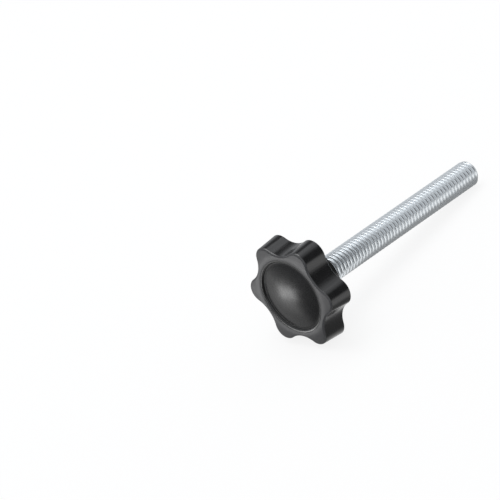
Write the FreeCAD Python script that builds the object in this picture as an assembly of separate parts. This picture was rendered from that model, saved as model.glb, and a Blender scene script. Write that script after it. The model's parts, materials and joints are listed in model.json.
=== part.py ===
import FreeCAD, Part
import math
import os

# A small star knob with a threaded stud moulded into it. All lengths are in millimetres.
# Each piece is drawn about the knob's own axis: the flat front rim lies at height 0 and the stud
# points along +Z. Heights below are distances from that rim plane towards the stud's tip.
# The pieces are laid down at the end, as the knob comes to rest on a flat surface.

# Star outline at the front rim
LOBE_COUNT = 6
LOBE_TIP_RADIUS = 12.0
VALLEY_RADIUS = 9.5
LOBE_ROUNDING = 2.8

# Side of the head
HEAD_THICKNESS = 5.7
SIDE_DRAFT_DEGREES = 4.6
FRONT_EDGE_ROUNDING = 0.45
UNDERSIDE_EDGE_CHAMFER = 0.2

# Front face: a round recess with a shallow dome rising out of it
FRONT_RIM_WIDTH = 0.95
RECESS_DEPTH = 0.9
RECESS_WALL_DRAFT = 0.05
RECESS_EDGE_ROUNDING = 0.7
RECESS_EDGE_STEPS = 3
DOME_GROOVE_WIDTH = 0.15
DOME_ABOVE_RIM = 0.25

# Underside: a ring-shaped hollow around a hub
UNDERSIDE_RIM_WIDTH = 1.0
WEB_THICKNESS = 1.7
HOLLOW_WALL_DRAFT = 0.15
HUB_RADIUS = 6.4
HUB_WALL_DRAFT = 0.1
HUB_STANDOFF = 3.6
HUB_EDGE_CHAMFER = 0.25
INNER_CORNER_CHAMFER = 0.4

# Mouth of the hub, left open around the stud by the mould's sleeve
MOUTH_CLEARANCE = 0.85
MOUTH_DEPTH = 2.2

# Threaded stud
STUD_DIAMETER = 6.0
STUD_LENGTH = 50.0
THREAD_PITCH = 1.0

# Hidden end of the stud: a neck and a hexagonal anchor inside the moulding
NECK_LENGTH = 1.9
ANCHOR_ACROSS_FLATS = 8.0
ANCHOR_HEIGHT = 3.0

# Ratios of a metric thread, as shares of its pitch
PITCH_DIAMETER_DROP = 0.6495
THREAD_DEPTH_SHARE = 0.6134

# Sizes that follow from the ones above
STUD_RADIUS = STUD_DIAMETER / 2
NECK_RADIUS = (STUD_DIAMETER - PITCH_DIAMETER_DROP * THREAD_PITCH) / 2
TIP_CHAMFER = THREAD_DEPTH_SHARE * THREAD_PITCH
PARTING_HEIGHT = HEAD_THICKNESS - UNDERSIDE_EDGE_CHAMFER
RECESS_RADIUS = VALLEY_RADIUS - FRONT_RIM_WIDTH - RECESS_EDGE_ROUNDING
DOME_BASE_RADIUS = RECESS_RADIUS - RECESS_WALL_DRAFT - DOME_GROOVE_WIDTH
WEB_HEIGHT = RECESS_DEPTH + WEB_THICKNESS
HUB_FACE_HEIGHT = HEAD_THICKNESS + HUB_STANDOFF
MOUTH_FLOOR_HEIGHT = HUB_FACE_HEIGHT - MOUTH_DEPTH
ANCHOR_TOP_HEIGHT = MOUTH_FLOOR_HEIGHT - NECK_LENGTH
ANCHOR_BASE_HEIGHT = ANCHOR_TOP_HEIGHT - ANCHOR_HEIGHT
TIP_HEIGHT = HUB_FACE_HEIGHT + STUD_LENGTH
CHAMFER_HEIGHT = TIP_HEIGHT - TIP_CHAMFER

AXIS = FreeCAD.Vector(0, 0, 1)
CENTRE = FreeCAD.Vector(0, 0, 0)
HEIGHT_TOLERANCE = 1e-6


def polar(radius, angle, height):
    """Point at a radius and an angle round the axis, at a height along it."""
    return FreeCAD.Vector(radius * math.cos(angle), radius * math.sin(angle), height)


def section_point(radius, height):
    """Point of a half section, in the plane that holds the axis."""
    return FreeCAD.Vector(radius, 0, height)


def revolve_section(points):
    """Solid of revolution of a closed polygon of (radius, height) pairs."""
    corners = [section_point(radius, height) for radius, height in points]
    outline = Part.makePolygon(corners + corners[:1])
    return Part.Face(outline).revolve(CENTRE, AXIS, 360)


def side_growth(height):
    """How far the drafted side wall stands out past the front outline at a height."""
    return height * math.tan(math.radians(SIDE_DRAFT_DEGREES))


def valley_rounding():
    """Radius of the valley arc that touches both lobe arcs beside it at the front rim."""
    lobe_centre = LOBE_TIP_RADIUS - LOBE_ROUNDING
    shadow = lobe_centre * math.cos(math.pi / LOBE_COUNT)
    gap = LOBE_ROUNDING ** 2 - lobe_centre ** 2 - VALLEY_RADIUS ** 2 + 2 * shadow * VALLEY_RADIUS
    return gap / (2 * (VALLEY_RADIUS - shadow - LOBE_ROUNDING))


def star_outline(growth, height):
    """Closed outline of tangent lobe and valley arcs, offset outwards by growth."""
    step = 2 * math.pi / LOBE_COUNT
    valley_arc = valley_rounding()
    lobe_centre_radius = LOBE_TIP_RADIUS - LOBE_ROUNDING
    valley_centre_radius = VALLEY_RADIUS + valley_arc
    lobe_share = (LOBE_ROUNDING + growth) / (LOBE_ROUNDING + valley_arc)
    edges = []
    for number in range(LOBE_COUNT):
        lobe_angle = (number + 0.5) * step
        lobe_centre = polar(lobe_centre_radius, lobe_angle, height)
        before = polar(valley_centre_radius, lobe_angle - step / 2, height)
        after = polar(valley_centre_radius, lobe_angle + step / 2, height)
        following_lobe = polar(lobe_centre_radius, lobe_angle + step, height)
        start = lobe_centre + (before - lobe_centre) * lobe_share
        end = lobe_centre + (after - lobe_centre) * lobe_share
        valley_end = following_lobe + (after - following_lobe) * lobe_share
        lobe_tip = polar(LOBE_TIP_RADIUS + growth, lobe_angle, height)
        valley_floor = polar(VALLEY_RADIUS + growth, lobe_angle + step / 2, height)
        edges.append(Part.Arc(start, lobe_tip, end).toShape())
        edges.append(Part.Arc(end, valley_floor, valley_end).toShape())
    return Part.Wire(edges)


def edges_at(shape, height):
    """Edges of a shape that lie flat at a height."""
    found = []
    for edge in shape.Edges:
        box = edge.BoundBox
        if max(abs(box.ZMin - height), abs(box.ZMax - height)) < HEIGHT_TOLERANCE:
            found.append(edge)
    return found


def star_body():
    """Drafted star block, rounded at its front edge and broken at its parting edge."""
    front = star_outline(0, 0)
    parting = star_outline(side_growth(PARTING_HEIGHT), PARTING_HEIGHT)
    underside = star_outline(side_growth(PARTING_HEIGHT) - UNDERSIDE_EDGE_CHAMFER, HEAD_THICKNESS)
    block = Part.makeLoft([front, parting, underside], True, True)
    return block.makeFillet(FRONT_EDGE_ROUNDING, edges_at(block, 0))


def front_recess():
    """Drafted round pocket in the front face, with its edge rounded in a few steps."""
    rounded_edge = []
    for step in range(RECESS_EDGE_STEPS + 1):
        turn = math.pi / 2 * step / RECESS_EDGE_STEPS
        rounded_edge.append((
            RECESS_RADIUS + RECESS_EDGE_ROUNDING * (1 - math.sin(turn)),
            RECESS_EDGE_ROUNDING * (1 - math.cos(turn)),
        ))
    floor = [(RECESS_RADIUS - RECESS_WALL_DRAFT, RECESS_DEPTH), (0, RECESS_DEPTH)]
    return revolve_section([(0, 0)] + rounded_edge + floor)


def dome():
    """Shallow spherical cap that rises from the floor of the recess to just above the rim."""
    rise = RECESS_DEPTH + DOME_ABOVE_RIM
    sphere_radius = (DOME_BASE_RADIUS ** 2 + rise ** 2) / (2 * rise)
    sphere_centre = section_point(0, sphere_radius - DOME_ABOVE_RIM)
    crown = section_point(0, -DOME_ABOVE_RIM)
    sideways = FreeCAD.Vector(1, 0, 0)
    ball = Part.makeSphere(sphere_radius, sphere_centre, sideways)
    return ball.common(Part.makeCylinder(2 * DOME_BASE_RADIUS, rise, crown, AXIS))


def underside_hollow():
    """Drafted round pocket in the underside, as deep as the web allows."""
    mouth_radius = VALLEY_RADIUS + side_growth(PARTING_HEIGHT) - UNDERSIDE_RIM_WIDTH
    floor_radius = mouth_radius - HOLLOW_WALL_DRAFT
    return revolve_section([
        (0, WEB_HEIGHT),
        (floor_radius - INNER_CORNER_CHAMFER, WEB_HEIGHT),
        (floor_radius, WEB_HEIGHT + INNER_CORNER_CHAMFER),
        (mouth_radius, HEAD_THICKNESS),
        (0, HEAD_THICKNESS),
    ])


def hub():
    """Tapered hub that stands on the web and passes the underside rim."""
    foot_radius = HUB_RADIUS + HUB_WALL_DRAFT
    return revolve_section([
        (0, WEB_HEIGHT),
        (foot_radius + INNER_CORNER_CHAMFER, WEB_HEIGHT),
        (foot_radius, WEB_HEIGHT + INNER_CORNER_CHAMFER),
        (HUB_RADIUS, HUB_FACE_HEIGHT - HUB_EDGE_CHAMFER),
        (HUB_RADIUS - HUB_EDGE_CHAMFER, HUB_FACE_HEIGHT),
        (0, HUB_FACE_HEIGHT),
    ])


def hub_mouth():
    """Round space that the mould's sleeve leaves open around the stud."""
    radius = STUD_RADIUS + MOUTH_CLEARANCE
    return Part.makeCylinder(radius, MOUTH_DEPTH, FreeCAD.Vector(0, 0, MOUTH_FLOOR_HEIGHT), AXIS)


def hexagonal_anchor():
    """Hexagonal head of the stud, gripped all round by the moulding."""
    corner_radius = ANCHOR_ACROSS_FLATS / 2 / math.cos(math.pi / 6)
    corners = [polar(corner_radius, math.pi / 3 * corner, ANCHOR_BASE_HEIGHT) for corner in range(6)]
    outline = Part.makePolygon(corners + corners[:1])
    return Part.Face(outline).extrude(AXIS * ANCHOR_HEIGHT)


def threaded_stud():
    """Steel stud at its thread's outer diameter, with its neck and anchor."""
    shank = revolve_section([
        (0, ANCHOR_TOP_HEIGHT),
        (NECK_RADIUS, ANCHOR_TOP_HEIGHT),
        (NECK_RADIUS, MOUTH_FLOOR_HEIGHT),
        (STUD_RADIUS, MOUTH_FLOOR_HEIGHT),
        (STUD_RADIUS, CHAMFER_HEIGHT),
        (STUD_RADIUS - TIP_CHAMFER, TIP_HEIGHT),
        (0, TIP_HEIGHT),
    ])
    return shank.fuse(hexagonal_anchor()).removeSplitter()


def star_head(stud):
    """One-piece moulding around the anchored end of the stud."""
    moulding = star_body().cut(front_recess()).cut(underside_hollow())
    moulding = moulding.fuse([dome(), hub()]).removeSplitter()
    return moulding.cut(hub_mouth()).cut(stud)


def lean_on_floor():
    """Angle in degrees by which the stud points down when the knob lies on two lobes and its tip."""
    lobe_drop = (LOBE_TIP_RADIUS - LOBE_ROUNDING) * math.cos(math.pi / LOBE_COUNT)
    lobe_reach = LOBE_ROUNDING + side_growth(PARTING_HEIGHT)
    drop = lobe_drop + lobe_reach - STUD_RADIUS
    return math.degrees(math.atan2(drop, CHAMFER_HEIGHT - PARTING_HEIGHT))


def resting_placement(pieces):
    """Placement that lays the knob on the floor, centred over the origin."""
    lean = lean_on_floor()
    slope = math.radians(lean)
    axis_height = CHAMFER_HEIGHT * math.sin(slope) + STUD_RADIUS * math.cos(slope)
    lying = FreeCAD.Rotation(FreeCAD.Vector(0, 1, 0), 90 + lean)
    trial = FreeCAD.Placement(FreeCAD.Vector(0, 0, axis_height), lying)
    laid = Part.makeCompound([piece.transformed(trial.toMatrix()) for piece in pieces])
    box = laid.optimalBoundingBox(False, False)
    return FreeCAD.Placement(FreeCAD.Vector(-(box.XMin + box.XMax) / 2, 0, axis_height), lying)


def main():
    """Build both pieces, lay them down together and write one file for each."""
    stud = threaded_stud()
    pieces = {"star_head": star_head(stud), "threaded_stud": stud}
    placement = resting_placement(pieces.values())
    os.makedirs("parts", exist_ok=True)
    for name, piece in pieces.items():
        piece.transformed(placement.toMatrix()).exportStep("parts/" + name + ".step")


main()
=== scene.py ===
"""Looks of a small star knob with a long threaded stud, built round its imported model.

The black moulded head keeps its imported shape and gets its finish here, and a higher dome is laid
over the one in its recess. The stud is made again with its rolled thread. The knob lies on a pale
floor on two of its lobes and the stud's tip.
Lengths are in metres, apart from the values that say millimetres.
"""

import json
import math

import bmesh
import bpy
from bpy.props import FloatProperty, FloatVectorProperty, IntProperty, PointerProperty
from mathutils import Matrix, Vector


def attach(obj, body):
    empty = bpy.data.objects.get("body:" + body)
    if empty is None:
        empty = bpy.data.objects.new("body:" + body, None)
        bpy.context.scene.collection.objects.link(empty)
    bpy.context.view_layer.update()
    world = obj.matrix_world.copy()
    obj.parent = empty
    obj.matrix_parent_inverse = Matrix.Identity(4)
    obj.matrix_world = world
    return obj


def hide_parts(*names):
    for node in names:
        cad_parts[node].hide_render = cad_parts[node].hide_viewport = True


bl_info = {
    "name": "Star Knob",
    "version": (1, 0, 0),
    "blender": (4, 5, 0),
    "location": "3D View > Sidebar > Star Knob",
    "description": "Dresses a moulded star knob and makes its threaded stud",
    "category": "Object",
}

MM = 0.001

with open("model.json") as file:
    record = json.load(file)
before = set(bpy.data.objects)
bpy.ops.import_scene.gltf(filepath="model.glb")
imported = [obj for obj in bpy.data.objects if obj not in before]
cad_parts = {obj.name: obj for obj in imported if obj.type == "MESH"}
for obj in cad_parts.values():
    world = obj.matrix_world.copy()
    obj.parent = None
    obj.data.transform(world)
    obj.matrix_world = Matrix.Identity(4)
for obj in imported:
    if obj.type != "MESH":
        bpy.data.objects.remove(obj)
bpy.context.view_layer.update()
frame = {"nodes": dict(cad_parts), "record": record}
mounts = {mount["name"]: mount for mount in frame["record"]["mounts"]}

# The knob's own axis runs from the middle of its front face to the stud's tip.
AXIS = Vector(mounts["stud"]["axis"]).normalized()
TIP_CENTRE = Vector(mounts["stud_tip"]["pos_m"])
STUD_RADIUS = mounts["stud"]["dims"]["r_mm"] * MM

# Heights along that axis from the front face, and radii round it.
FRONT_TO_TIP = 59.3 * MM
MOUTH_FLOOR = 7.1 * MM
NECK_START = 5.2 * MM
ANCHOR_START = 2.2 * MM
NECK_RADIUS = 2.6753 * MM
ANCHOR_FLAT_RADIUS = 4.0 * MM
TIP_RADIUS = 2.3866 * MM

# The front face, in millimetres.
DOME_RADIUS = 7.65
DOME_ABOVE_RIM = 0.65
DOME_BACK_DEPTH = 1.0
GROOVE_RADIUS = 7.9
GROOVE_DEPTH = 0.5
RIM_INNER_RADIUS = 8.55
RIM_ROLL_WIDTH = 1.8
RIM_ROLL_DEPTH = 0.42

# Where one finish of the head passes into the next, in millimetres from the axis or the front.
DOME_EDGE = (DOME_RADIUS, DOME_RADIUS + 0.2)
DOME_BACK = (1.1, 1.3)
RIM_EDGE = (RIM_INNER_RADIUS - 0.1, RIM_INNER_RADIUS)
RIM_BACK = (0.1, 0.4)
GROOVE_INNER_EDGE = (DOME_RADIUS - 0.4, DOME_RADIUS)
GROOVE_OUTER_EDGE = (8.0, 8.5)
GROOVE_TOP = (0.2, 0.45)

# The head's fine marks: how much each changes the roughness, and its height in millimetres.
GRAIN_ROUGHNESS = 0.06
GRAIN_HEIGHT = 0.012
CLOUD_ROUGHNESS = 0.1
CLOUD_HEIGHT = 0.03
DRAW_MARK_ROUGHNESS = 0.12
DRAW_MARK_HEIGHT = 0.03

# How fine the draw marks are round the axis, along it and out from it.
DRAW_MARK_FINENESS = (16.0, 0.12, 0.5)

# The share of the rim's grain that the polished parts have, and how quickly the rim rolls down.
POLISHED_GRAIN_SHARE = 0.15
RIM_ROLL_POWER = 3.0

# The plating's fine marks in the same way, and how metallic it is in the roots and on the crests.
PLATING_GRAIN_ROUGHNESS = 0.08
PLATING_GRAIN_HEIGHT = 0.008
PLATING_PATCH_ROUGHNESS = 0.06
ROOT_METALLIC = 0.75
CREST_METALLIC = 0.95

# How many times brighter or darker than its setting a colour is.
CLOUD_BRIGHTNESS = (0.85, 1.15)
DOME_BRIGHTNESS = 2.0
RIM_BRIGHTNESS = 8.0
# The roots' colour is darker as painted shade, and the crests' colour is lighter as a painted
# highlight.
ROOT_PAINTED_SHADE = 0.95
CREST_PAINTED_HIGHLIGHT = 1.12

# The radii between which the thread's root turns into its crest, in millimetres.
ROOT_TO_CREST = (2.6, 2.95)

# Angles, and distances within which points are welded together.
THREAD_FLANK = math.radians(30.0)
HALF_HEXAGON = math.radians(30.0)
SHARP_EDGE = math.radians(10.0)
WELD = 0.0001 * MM
THREAD_WELD = 0.001 * MM
CUT_WELD = 0.00001 * MM

# The light on the stud's side, by the direction round the knob's axis. It is in degrees from the dark
# gap between two soft lights: a bright strip and a wide glow, each with its centre, the half width
# that is full and the half width where it ends, and the far side, from its start to where it is full.
GAP_DIRECTION = Vector((0.637, -0.71, 0.30))
GAP_LEVEL = 0.1
STRIP = (-68.0, 4.0, 19.0)
STRIP_LEVEL = 1.25
GLOW = (-54.0, 5.0, 38.0)
GLOW_LEVEL = 0.7
FAR_SIDE = (92.0, 135.0)
FAR_SIDE_LEVEL = 0.63

# The light on the front face's side, the darker patch in it, and where one side passes into the other.
FACE_SIDE_LEVEL = 0.62
PATCH_DIRECTION = Vector((-0.80, 0.60, 0.02))
PATCH_EDGE = (0.80, 0.94)
PATCH_DARKER = 0.45
FACE_TO_STUD_SIDE = (-0.2, 0.2)

# What the world gives to matt surfaces, and the colours of the stage.
MATT_LEVEL = 0.73
SKY_TINT = (0.95, 0.97, 1.0, 1.0)
WHITE = (1.0, 1.0, 1.0, 1.0)
BLACK = (0.0, 0.0, 0.0, 1.0)
# The grey of the painted shade patches in the floor's reflections.
PAINTED_SHADE_GREY = (0.1, 0.1, 0.1, 1.0)

# The floor: its size, how much of it is plain white to the camera, and the way out before the face,
# along which its reflection gets a patch of painted shade.
FLOOR_RADIUS = 0.6
PLAIN_WHITE_SHARE = 0.85
OUT_BEFORE_FACE = (-0.629, -0.777)


def knob_to_world():
    """The matrix that takes the knob's own coordinates, front centre and axis +Z, to its place."""
    down = Vector((AXIS.z, 0.0, -AXIS.x))
    turn = Matrix((down, Vector((0.0, 1.0, 0.0)), AXIS)).transposed()
    return Matrix.Translation(TIP_CENTRE - AXIS * FRONT_TO_TIP) @ turn.to_4x4()


class StudSettings(bpy.types.PropertyGroup):
    """Sizes and colour of the threaded stud."""

    pitch: FloatProperty(
        name="Thread pitch", description="Distance from one thread crest to the next",
        default=1.0 * MM, min=0.2 * MM, unit="LENGTH")
    crest_width: FloatProperty(
        name="Crest width", description="Width of the rolled crests, with their rounded edges",
        default=0.3 * MM, min=0.05 * MM, unit="LENGTH")
    crest_rounding: FloatProperty(
        name="Crest rounding", description="Radius on the edges of the rolled crests",
        default=0.1 * MM, min=0.01 * MM, unit="LENGTH")
    thread_depth: FloatProperty(
        name="Thread depth", description="Height of the crests above the roots",
        default=0.47 * MM, min=0.1 * MM, unit="LENGTH")
    root_rounding: FloatProperty(
        name="Root rounding", description="Radius in the bottom of the thread",
        default=0.144 * MM, min=0.01 * MM, unit="LENGTH")
    steps_per_turn: IntProperty(
        name="Steps per turn", description="Number of flats in one turn of the thread",
        default=48, min=16)
    colour: FloatVectorProperty(
        name="Plating colour", description="Colour of the bright zinc plating",
        default=(0.755, 0.793, 0.82), min=0.0, max=1.0, subtype="COLOR")
    root_roughness: FloatProperty(
        name="Root roughness", description="Roughness of the plating in the bottom of the thread",
        default=0.42, min=0.0, max=1.0, subtype="FACTOR")
    crest_roughness: FloatProperty(
        name="Crest roughness", description="Roughness of the plating on the rubbed crests",
        default=0.22, min=0.0, max=1.0, subtype="FACTOR")


class HeadSettings(bpy.types.PropertyGroup):
    """Finish of the moulded head."""

    colour: FloatVectorProperty(
        name="Plastic colour", description="Colour of the moulded plastic",
        default=(0.006, 0.006, 0.0063), min=0.0, max=1.0, subtype="COLOR")
    dome_roughness: FloatProperty(
        name="Dome roughness", description="Roughness of the polished dome",
        default=0.27, min=0.0, max=1.0, subtype="FACTOR")
    rim_roughness: FloatProperty(
        name="Rim roughness", description="Roughness of the textured rim",
        default=0.4, min=0.0, max=1.0, subtype="FACTOR")
    side_roughness: FloatProperty(
        name="Side roughness", description="Roughness of the drafted sides",
        default=0.2, min=0.0, max=1.0, subtype="FACTOR")
    groove_roughness: FloatProperty(
        name="Groove roughness", description="How much rougher the groove round the dome is",
        default=0.3, min=0.0, max=1.0, subtype="FACTOR")


class StageSettings(bpy.types.PropertyGroup):
    """Floor and camera."""

    floor_colour: FloatVectorProperty(
        name="Floor colour", description="Colour of the plain floor",
        default=(0.95, 0.95, 0.95), min=0.0, max=1.0, subtype="COLOR")
    camera_azimuth: FloatProperty(
        name="Camera azimuth", description="Direction that the camera looks in, from +Y",
        default=math.radians(-35.69126), subtype="ANGLE")
    camera_elevation: FloatProperty(
        name="Camera elevation", description="Angle of the camera above the horizon",
        default=math.radians(28.52535), subtype="ANGLE")
    camera_roll: FloatProperty(
        name="Camera roll", description="Clockwise turn of the camera about its line of sight",
        default=math.radians(24.01556), subtype="ANGLE")
    camera_distance: FloatProperty(
        name="Camera distance", description="Distance from the camera to the point it looks at",
        default=585.968 * MM, unit="LENGTH")
    camera_target: FloatVectorProperty(
        name="Camera target", description="Point in the middle of the picture",
        default=(-33.2498 * MM, 0.0, 27.4425 * MM), subtype="TRANSLATION", unit="LENGTH")
    camera_lens: FloatProperty(
        name="Camera lens", description="Focal length on a 36 mm sensor, in millimetres",
        default=205.3209, min=10.0)


class Shade:
    """One socket of a node tree. Arithmetic on it adds the Math nodes that work it out."""

    def __init__(self, tree, socket=None):
        self.tree = tree
        self.socket = socket

    def node(self, kind, settings=None, inputs=None, output=0):
        """Adds a node, gives it its settings and inputs, and returns one of its outputs."""
        made = self.tree.nodes.new(kind)
        for name, value in (settings or {}).items():
            setattr(made, name, value)
        for name, value in (inputs or {}).items():
            if isinstance(value, Shade):
                value.feed(made.inputs[name])
            else:
                made.inputs[name].default_value = value
        return Shade(self.tree, made.outputs[output])

    def feed(self, socket):
        """Links this to the socket of a node."""
        self.tree.links.new(self.socket, socket)

    def math(self, operation, first, second=0.0):
        """The result of a Math node."""
        return self.node("ShaderNodeMath", {"operation": operation}, {0: first, 1: second})

    def between(self, low, high):
        """0 below low, 1 above high, and a smooth step from one to the other."""
        return self.node("ShaderNodeMapRange", {"interpolation_type": "SMOOTHSTEP"},
                         {"Value": self, "From Min": low, "From Max": high})

    def between_straight(self, low, high):
        """0 below low, 1 above high, and a straight ramp from one to the other."""
        return self.node("ShaderNodeMapRange", None,
                         {"Value": self, "From Min": low, "From Max": high})

    def band(self, start, full, fade, end):
        """0 outside start and end, 1 from full to fade, and a smooth step on either side."""
        return self.between(start, full) * (1.0 - self.between(fade, end))

    def near(self, centre, core, edge):
        """1 within core of the centre, 0 beyond edge, and a smooth step from one to the other."""
        return 1.0 - abs(self - centre).between(core, edge)

    def along(self, direction):
        """How far this vector reaches along a direction."""
        return self.node("ShaderNodeVectorMath", {"operation": "DOT_PRODUCT"},
                         {0: self, 1: direction}, "Value")

    def blend(self, first, second):
        """The first colour where this is 0, the second where it is 1."""
        return self.node("ShaderNodeMix", {"data_type": "RGBA"}, {0: self, 6: first, 7: second}, 2)

    def __add__(self, other):
        return self.math("ADD", self, other)

    __radd__ = __add__

    def __sub__(self, other):
        return self.math("SUBTRACT", self, other)

    def __rsub__(self, other):
        return self.math("SUBTRACT", other, self)

    def __mul__(self, other):
        return self.math("MULTIPLY", self, other)

    __rmul__ = __mul__

    def __pow__(self, other):
        return self.math("POWER", self, other)

    def __abs__(self):
        return self.math("ABSOLUTE", self)


def new_material(name):
    """An empty node material, its wrapper and the socket that takes its shader."""
    material = bpy.data.materials.new(name)
    material.use_nodes = True
    material.node_tree.nodes.clear()
    output = material.node_tree.nodes.new("ShaderNodeOutputMaterial")
    return material, Shade(material.node_tree), output.inputs["Surface"]


def coordinates(point, letters):
    """The coordinates of a point that the letters name."""
    return [point.node("ShaderNodeSeparateXYZ", None, {0: point}, letter) for letter in letters]


def knob_coordinates(shade):
    """Millimetres along the knob's own axes: the point, its distance from the axis, its height
    behind the front face, and its angle round the axis."""
    to_knob = knob_to_world().inverted()
    point = shade.node("ShaderNodeMapping", None, {
        "Vector": shade.node("ShaderNodeTexCoord", output="Object"),
        "Location": to_knob.to_translation() / MM,
        "Rotation": to_knob.to_euler(),
        "Scale": (1.0 / MM, 1.0 / MM, 1.0 / MM)})
    x, y, z = coordinates(point, "XYZ")
    return point, (x * x + y * y) ** 0.5, z, shade.math("ARCTAN2", y, x)


def rgba(colour, brightness=1.0):
    """A colour with its alpha, made brighter or darker."""
    red, green, blue = Vector(colour) * brightness
    return red, green, blue, 1.0


def black_plastic(settings):
    """Moulded black plastic: a satin dome, a matt rim, and glossier sides with draw marks."""
    material, shade, surface = new_material("black_moulded_plastic")
    point, radius, height, angle = knob_coordinates(shade)
    dome = (1.0 - radius.between(*DOME_EDGE)) * (1.0 - height.between(*DOME_BACK))
    rim = radius.between(*RIM_EDGE) * (1.0 - height.between(*RIM_BACK))
    groove = radius.band(*GROOVE_INNER_EDGE, *GROOVE_OUTER_EDGE) * height.between(*GROOVE_TOP)
    sides = (1.0 - dome) * (1.0 - rim)

    grain = shade.node("ShaderNodeTexNoise", None, {
        "Vector": point, "Scale": 9.0, "Detail": 3.0, "Roughness": 0.6})
    cloud = shade.node("ShaderNodeTexNoise", None, {
        "Vector": point, "Scale": 0.55, "Detail": 2.0, "Roughness": 0.5})
    fine_round, fine_along, fine_out = DRAW_MARK_FINENESS
    drawn_out = shade.node("ShaderNodeCombineXYZ", None, {
        "X": angle * fine_round, "Y": height * fine_along, "Z": radius * fine_out})
    draw_marks = shade.node("ShaderNodeTexNoise", None, {
        "Vector": drawn_out, "Scale": 1.6, "Detail": 3.0, "Roughness": 0.6})

    rough = (dome * settings.dome_roughness + rim * settings.rim_roughness
             + sides * settings.side_roughness + groove * settings.groove_roughness)
    rough = (rough + (grain - 0.5) * GRAIN_ROUGHNESS + (cloud - 0.5) * CLOUD_ROUGHNESS
             + sides * (draw_marks - 0.5) * DRAW_MARK_ROUGHNESS)
    darker, brighter = [rgba(settings.colour, brightness) for brightness in CLOUD_BRIGHTNESS]
    base = cloud.between(0.3, 0.7).blend(darker, brighter)
    base = dome.blend(base, rgba(settings.colour, DOME_BRIGHTNESS))
    base = rim.blend(base, rgba(settings.colour, RIM_BRIGHTNESS))

    # The rim rolls down softly to the recess, and its grain stands higher than the polished parts'.
    inward = 1.0 - radius.between_straight(RIM_INNER_RADIUS, RIM_INNER_RADIUS + RIM_ROLL_WIDTH)
    roll = inward ** RIM_ROLL_POWER * rim * -RIM_ROLL_DEPTH
    texture = grain * (POLISHED_GRAIN_SHARE + rim * (1.0 - POLISHED_GRAIN_SHARE))
    relief = (texture * GRAIN_HEIGHT + cloud * CLOUD_HEIGHT
              + draw_marks * sides * DRAW_MARK_HEIGHT + roll)
    bump = shade.node("ShaderNodeBump", None, {
        "Strength": 0.5, "Distance": MM, "Height": relief})
    shader = shade.node("ShaderNodeBsdfPrincipled", None, {
        "Base Color": base, "Roughness": rough, "Normal": bump, "IOR": 1.5,
        "Specular IOR Level": 0.8})
    shader.feed(surface)
    return material


def zinc_plating(settings):
    """Bright zinc over a rolled thread, rougher in the roots and rubbed smoother on the crests, with
    painted shade darkening the roots and a painted highlight brightening the crests.
    """
    material, shade, surface = new_material("bright_zinc_plating")
    point, radius = knob_coordinates(shade)[:2]
    grain = shade.node("ShaderNodeTexNoise", None, {
        "Vector": point, "Scale": 7.0, "Detail": 3.0, "Roughness": 0.65})
    patch = shade.node("ShaderNodeTexNoise", None, {
        "Vector": point, "Scale": 0.45, "Detail": 2.0})
    crest = radius.between(*ROOT_TO_CREST)
    # The colour darkens in the roots as painted shade and lightens on the crests as a painted
    # highlight.
    base = crest.blend(rgba(settings.colour, ROOT_PAINTED_SHADE), rgba(settings.colour, CREST_PAINTED_HIGHLIGHT))
    polish = settings.root_roughness - settings.crest_roughness
    rough = (settings.root_roughness - crest * polish
             + (grain - 0.5) * PLATING_GRAIN_ROUGHNESS + (patch - 0.5) * PLATING_PATCH_ROUGHNESS)
    metallic = ROOT_METALLIC + crest * (CREST_METALLIC - ROOT_METALLIC)
    bump = shade.node("ShaderNodeBump", None, {
        "Strength": 0.35, "Distance": MM, "Height": grain * PLATING_GRAIN_HEIGHT})
    shader = shade.node("ShaderNodeBsdfPrincipled", None, {
        "Base Color": base, "Roughness": rough, "Metallic": metallic, "Normal": bump})
    shader.feed(surface)
    return material


def floor_finish(colour):
    """A plain pale floor that keeps the soft shadow. To the camera it is nearly white. In the knob's
    reflections it is white, with painted shade: darker patches that stand in for the shade round the
    knob and darker surroundings."""
    material, shade, surface = new_material("plain_pale_floor")
    seen = shade.node("ShaderNodeLightPath", output="Is Camera Ray")
    reflected = (shade.node("ShaderNodeLightPath", output="Is Glossy Ray")
                 + shade.node("ShaderNodeLightPath", output="Is Transmission Ray"))

    # The painted shade patches' places are in millimetres from the floor's middle.
    point = shade.node("ShaderNodeTexCoord", output="Object")
    x, y = [metres * (1.0 / MM) for metres in coordinates(point, "XY")]
    aside = abs(y)
    out_x, out_y = OUT_BEFORE_FACE
    from_middle = (x * x + y * y) ** 0.5
    under_stud = (1.0 - aside.between(5.0, 9.0)) * x.band(-20.0, -12.0, 30.0, 40.0)
    beside_head = aside.band(6.0, 10.0, 15.0, 26.0) * x.band(-33.0, -29.0, -16.0, -10.0)
    near_face = x.band(-44.0, -37.0, -30.0, -26.0)
    left_of_face = x.band(-64.0, -52.0, -32.0, -30.0) * y.between(24.0, 40.0)
    before_face = (x * out_x + y * out_y).between(17.5, 23.5) * (1.0 - x.between(-36.0, -30.0))
    far_away = from_middle.between(40.0, 200.0)
    # Painted shade in the reflections: darker under the stud, beside the head, near and before the
    # face, and far away.
    painted_shade = 0.0
    for patch in (under_stud * 0.8, beside_head * 0.85, near_face * 0.64, left_of_face * 0.5,
                  before_face, far_away * 0.75):
        painted_shade = shade.math("MAXIMUM", painted_shade, patch)

    tone = (painted_shade * reflected).blend(WHITE, PAINTED_SHADE_GREY)
    matt = shade.node("ShaderNodeBsdfDiffuse", None, {"Color": rgba(colour)})
    plain = shade.node("ShaderNodeEmission", None, {"Color": tone, "Strength": 1.0})
    mixed = shade.node("ShaderNodeMixShader", None, {
        0: seen * PLAIN_WHITE_SHARE + reflected, 1: matt, 2: plain})
    mixed.feed(surface)
    return material


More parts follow.
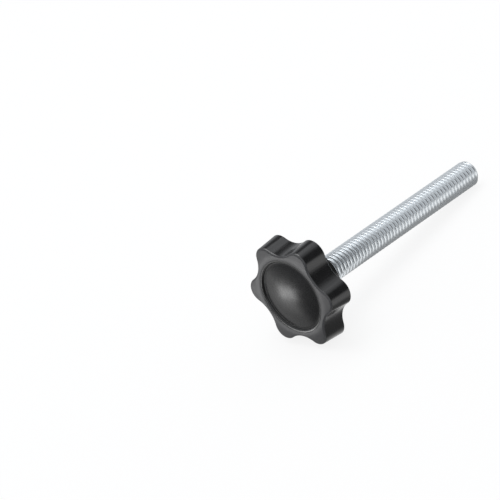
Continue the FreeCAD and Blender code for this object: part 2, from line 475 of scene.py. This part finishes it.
def finish_mesh(bm, name, material):
    """Makes the object at the origin from a bmesh that is already in its place."""
    bmesh.ops.remove_doubles(bm, verts=bm.verts, dist=WELD)
    bmesh.ops.recalc_face_normals(bm, faces=bm.faces)
    mesh = bpy.data.meshes.new(name)
    bm.to_mesh(mesh)
    bm.free()
    piece = bpy.data.objects.new(name, mesh)
    bpy.context.scene.collection.objects.link(piece)
    mesh.materials.append(material)
    return piece


def edge_chain(bm, section):
    """Joins the points of a section, each a radius and a height in metres, by edges."""
    chain = [bm.verts.new((radius, 0.0, height)) for radius, height in section]
    for first, second in zip(chain, chain[1:]):
        bm.edges.new((first, second))


def thread_section(settings):
    """One pitch of the rolled thread, from one root to the next, as radii and heights."""
    root_r, crest_r = settings.root_rounding, settings.crest_rounding
    root_reach = STUD_RADIUS - settings.thread_depth
    crest_flat = (settings.pitch - settings.crest_width) / 2.0 + crest_r * math.tan(THREAD_FLANK)
    arc = [math.radians(degrees) for degrees in (0.0, 30.0, 60.0)]
    rise = [(root_reach + root_r * (1.0 - math.cos(turn)), root_r * math.sin(turn)) for turn in arc]
    rise += [(STUD_RADIUS - crest_r * (1.0 - math.cos(turn)), crest_flat - crest_r * math.sin(turn))
             for turn in reversed(arc)]
    return rise + [(radius, settings.pitch - height) for radius, height in reversed(rise)]


def close_end(bm, height, direction):
    """Cuts the thread flat at a height, keeps what is below or above, and closes the cut."""
    cut = bmesh.ops.bisect_plane(
        bm, geom=bm.verts[:] + bm.edges[:] + bm.faces[:], dist=CUT_WELD,
        plane_co=(0.0, 0.0, height), plane_no=(0.0, 0.0, direction), clear_outer=True)
    loop = [edge for edge in cut["geom_cut"] if isinstance(edge, bmesh.types.BMEdge)]
    bmesh.ops.holes_fill(bm, edges=loop, sides=0)


def add_bar(bm, radius, segments, start, end):
    """Adds a closed round or many-sided bar along the axis and gives back its corners."""
    bar = bmesh.ops.create_cone(
        bm, cap_ends=True, segments=segments, radius1=radius, radius2=radius, depth=end - start,
        matrix=Matrix.Translation((0.0, 0.0, (end + start) / 2.0)))
    return bar["verts"]


class KNOB_OT_threaded_stud(bpy.types.Operator):
    """Makes the stud with its rolled thread, chamfered tip and hidden anchor"""

    bl_idname = "knob.threaded_stud"
    bl_label = "Threaded stud"

    def execute(self, context):
        settings = context.scene.knob_stud
        pitch, steps = settings.pitch, settings.steps_per_turn
        bm = bmesh.new()
        edge_chain(bm, thread_section(settings))

        # One turn of the thread, doubled until it is longer than the stud.
        start = MOUTH_FLOOR - 2.0 * pitch
        bmesh.ops.translate(bm, verts=bm.verts, vec=(0.0, 0.0, start))
        bmesh.ops.spin(
            bm, geom=bm.verts[:] + bm.edges[:], cent=(0.0, 0.0, 0.0), axis=(0.0, 0.0, 1.0),
            dvec=(0.0, 0.0, pitch / steps), angle=2.0 * math.pi, steps=steps, use_merge=False)
        turns = 1
        while start + (turns - 1) * pitch < FRONT_TO_TIP:
            more = bmesh.ops.duplicate(bm, geom=bm.verts[:] + bm.edges[:] + bm.faces[:])
            bmesh.ops.translate(
                bm, vec=(0.0, 0.0, turns * pitch),
                verts=[part for part in more["geom"] if isinstance(part, bmesh.types.BMVert)])
            turns *= 2
        bmesh.ops.remove_doubles(bm, verts=bm.verts, dist=THREAD_WELD)

        # The chamfer takes down the crests near the tip.
        chamfer_start = FRONT_TO_TIP - (STUD_RADIUS - TIP_RADIUS)
        for vert in bm.verts:
            reach = math.hypot(vert.co.x, vert.co.y)
            limit = STUD_RADIUS - max(0.0, vert.co.z - chamfer_start)
            if reach > limit > 0.0:
                vert.co.x *= limit / reach
                vert.co.y *= limit / reach
        for face in bm.faces:
            face.smooth = True
        close_end(bm, FRONT_TO_TIP, 1.0)
        close_end(bm, MOUTH_FLOOR, -1.0)
        for edge in bm.edges:
            if any(not face.smooth for face in edge.link_faces):
                edge.smooth = False

        add_bar(bm, NECK_RADIUS, steps, NECK_START, MOUTH_FLOOR)
        anchor = add_bar(bm, ANCHOR_FLAT_RADIUS / math.cos(HALF_HEXAGON), 6, ANCHOR_START, NECK_START)
        bmesh.ops.rotate(bm, verts=anchor, cent=(0.0, 0.0, 0.0),
                         matrix=Matrix.Rotation(HALF_HEXAGON, 3, "Z"))
        bmesh.ops.transform(bm, matrix=knob_to_world(), verts=bm.verts)
        stud = finish_mesh(bm, "rolled_thread_stud", zinc_plating(settings))
        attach(stud, "root")
        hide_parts("threaded_stud")
        return {"FINISHED"}


class KNOB_OT_moulded_head(bpy.types.Operator):
    """Gives the moulded head its black plastic finish"""

    bl_idname = "knob.moulded_head"
    bl_label = "Moulded head"

    def execute(self, context):
        material = black_plastic(context.scene.knob_head)
        head = frame["nodes"]["star_head"]
        for slot in head.material_slots:
            slot.material = material
        return {"FINISHED"}


class KNOB_OT_domed_face(bpy.types.Operator):
    """Makes the dome of the face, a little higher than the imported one"""

    bl_idname = "knob.domed_face"
    bl_label = "Domed face"

    def execute(self, context):
        rise = DOME_ABOVE_RIM + GROOVE_DEPTH
        ball_radius = (DOME_RADIUS ** 2 + rise ** 2) / (2.0 * rise)
        edge_turn = math.asin(DOME_RADIUS / ball_radius)
        arc_steps, round_steps = 24, 96
        turns = [edge_turn * step / arc_steps for step in range(arc_steps + 1)]
        section = [(ball_radius * math.sin(turn), ball_radius * (1.0 - math.cos(turn)) - DOME_ABOVE_RIM)
                   for turn in turns]
        section += [(GROOVE_RADIUS, GROOVE_DEPTH), (GROOVE_RADIUS, DOME_BACK_DEPTH),
                    (0.0, DOME_BACK_DEPTH)]
        bm = bmesh.new()
        edge_chain(bm, [(radius * MM, height * MM) for radius, height in section])
        bmesh.ops.spin(
            bm, geom=bm.verts[:] + bm.edges[:], cent=(0.0, 0.0, 0.0), axis=(0.0, 0.0, 1.0),
            angle=2.0 * math.pi, steps=round_steps, use_merge=True)
        bmesh.ops.remove_doubles(bm, verts=bm.verts, dist=WELD)
        for facet in bm.faces:
            facet.smooth = True
        for edge in bm.edges:
            edge.smooth = edge.calc_face_angle(0.0) < SHARP_EDGE
        bmesh.ops.transform(bm, matrix=knob_to_world(), verts=bm.verts)
        face = finish_mesh(bm, "domed_face", black_plastic(context.scene.knob_head))
        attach(face, "root")
        return {"FINISHED"}


def studio_world():
    """Soft light that depends on the direction round the knob's axis. The camera sees it white."""
    world = bpy.data.worlds.new("soft_studio")
    world.use_nodes = True
    world.node_tree.nodes.clear()
    output = world.node_tree.nodes.new("ShaderNodeOutputWorld")
    shade = Shade(world.node_tree)
    way = shade.node("ShaderNodeTexCoord", output="Generated")

    gap = (GAP_DIRECTION - AXIS * GAP_DIRECTION.dot(AXIS)).normalized()
    turn = shade.math("ARCTAN2", way.along(AXIS.cross(gap)), way.along(gap)) * math.degrees(1.0)
    stud_side = (GAP_LEVEL + turn.near(*STRIP) * STRIP_LEVEL + turn.near(*GLOW) * GLOW_LEVEL
                 + abs(turn).between(*FAR_SIDE) * FAR_SIDE_LEVEL)
    patch = way.along(PATCH_DIRECTION.normalized()).between(*PATCH_EDGE)
    face_side = FACE_SIDE_LEVEL - patch * PATCH_DARKER
    side = way.along(AXIS).between(*FACE_TO_STUD_SIDE)
    light = side * stud_side + (1.0 - side) * face_side

    seen = shade.node("ShaderNodeLightPath", output="Is Camera Ray")
    scattered = shade.node("ShaderNodeLightPath", output="Is Diffuse Ray")
    level = scattered * MATT_LEVEL + (1.0 - scattered) * light
    shown = seen.blend(level.blend(BLACK, SKY_TINT), WHITE)
    background = shade.node("ShaderNodeBackground", None, {"Color": shown, "Strength": 1.0})
    background.feed(output.inputs["Surface"])
    return world


def area_lamp(name, place, target, size, power):
    """A soft rectangular lamp that faces a point."""
    lamp = bpy.data.lights.new(name, "AREA")
    lamp.shape = "RECTANGLE"
    lamp.size, lamp.size_y = size
    lamp.energy = power
    holder = bpy.data.objects.new(name, lamp)
    aim = Vector(target) - Vector(place)
    holder.matrix_world = (Matrix.Translation(place)
                           @ aim.to_track_quat("-Z", "Y").to_matrix().to_4x4())
    holder.visible_camera = False
    bpy.context.scene.collection.objects.link(holder)
    return holder


def stage_camera(settings):
    """The camera at the viewing angle of the settings."""
    data = bpy.data.cameras.new("camera")
    data.sensor_width = 36.0
    data.lens = settings.camera_lens
    data.clip_start = 10.0 * MM
    camera = bpy.data.objects.new("camera", data)
    turn = (Matrix.Rotation(settings.camera_azimuth, 4, "Z")
            @ Matrix.Rotation(math.radians(90.0) - settings.camera_elevation, 4, "X")
            @ Matrix.Rotation(-settings.camera_roll, 4, "Z"))
    camera.matrix_world = (Matrix.Translation(settings.camera_target) @ turn
                           @ Matrix.Translation((0.0, 0.0, settings.camera_distance)))
    bpy.context.scene.collection.objects.link(camera)
    return camera


class KNOB_OT_stage(bpy.types.Operator):
    """Lays the floor and sets the light and the camera"""

    bl_idname = "knob.stage"
    bl_label = "Stage"

    def execute(self, context):
        scene = context.scene
        settings = scene.knob_stage
        bm = bmesh.new()
        bmesh.ops.create_circle(bm, cap_ends=True, segments=96, radius=FLOOR_RADIUS)
        floor = finish_mesh(bm, "floor", floor_finish(settings.floor_colour))

        scene.world = studio_world()
        area_lamp("overhead_softbox", place=(0.05, 0.15, 0.7), target=(0.0, 0.0, 0.0),
                  size=(0.5, 0.5), power=2.0)
        face_centre = knob_to_world().to_translation()
        beside_face = face_centre + Vector((-26.2, 26.2, -8.5)) * MM
        card = area_lamp("low_card", place=beside_face, target=face_centre,
                         size=(16.0 * MM, 8.0 * MM), power=0.00135)
        card.visible_diffuse = False

        scene.camera = stage_camera(settings)
        scene.view_settings.view_transform = "Standard"
        return {"FINISHED"}


class KNOB_PT_panel(bpy.types.Panel):
    """Lists the knob's settings and its makers"""

    bl_idname = "KNOB_PT_panel"
    bl_label = "Star Knob"
    bl_space_type = "VIEW_3D"
    bl_region_type = "UI"
    bl_category = "Star Knob"

    def draw(self, context):
        for group, operators in (("knob_head", ("knob.moulded_head", "knob.domed_face")),
                                 ("knob_stud", ("knob.threaded_stud",)),
                                 ("knob_stage", ("knob.stage",))):
            settings = getattr(context.scene, group)
            box = self.layout.box()
            for name in settings.__annotations__:
                box.prop(settings, name)
            for operator in operators:
                box.operator(operator)


CLASSES = (StudSettings, HeadSettings, StageSettings, KNOB_OT_moulded_head, KNOB_OT_domed_face,
           KNOB_OT_threaded_stud, KNOB_OT_stage, KNOB_PT_panel)


def register():
    """Adds the settings, the makers and the panel."""
    for each in CLASSES:
        bpy.utils.register_class(each)
    bpy.types.Scene.knob_stud = PointerProperty(type=StudSettings)
    bpy.types.Scene.knob_head = PointerProperty(type=HeadSettings)
    bpy.types.Scene.knob_stage = PointerProperty(type=StageSettings)


def unregister():
    """Takes them away again."""
    del bpy.types.Scene.knob_stage
    del bpy.types.Scene.knob_head
    del bpy.types.Scene.knob_stud
    for each in reversed(CLASSES):
        bpy.utils.unregister_class(each)


def main():
    """Dresses the knob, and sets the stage."""
    register()
    bpy.ops.knob.moulded_head()
    bpy.ops.knob.domed_face()
    bpy.ops.knob.threaded_stud()
    bpy.ops.knob.stage()


if __name__ == "__main__":
    main()
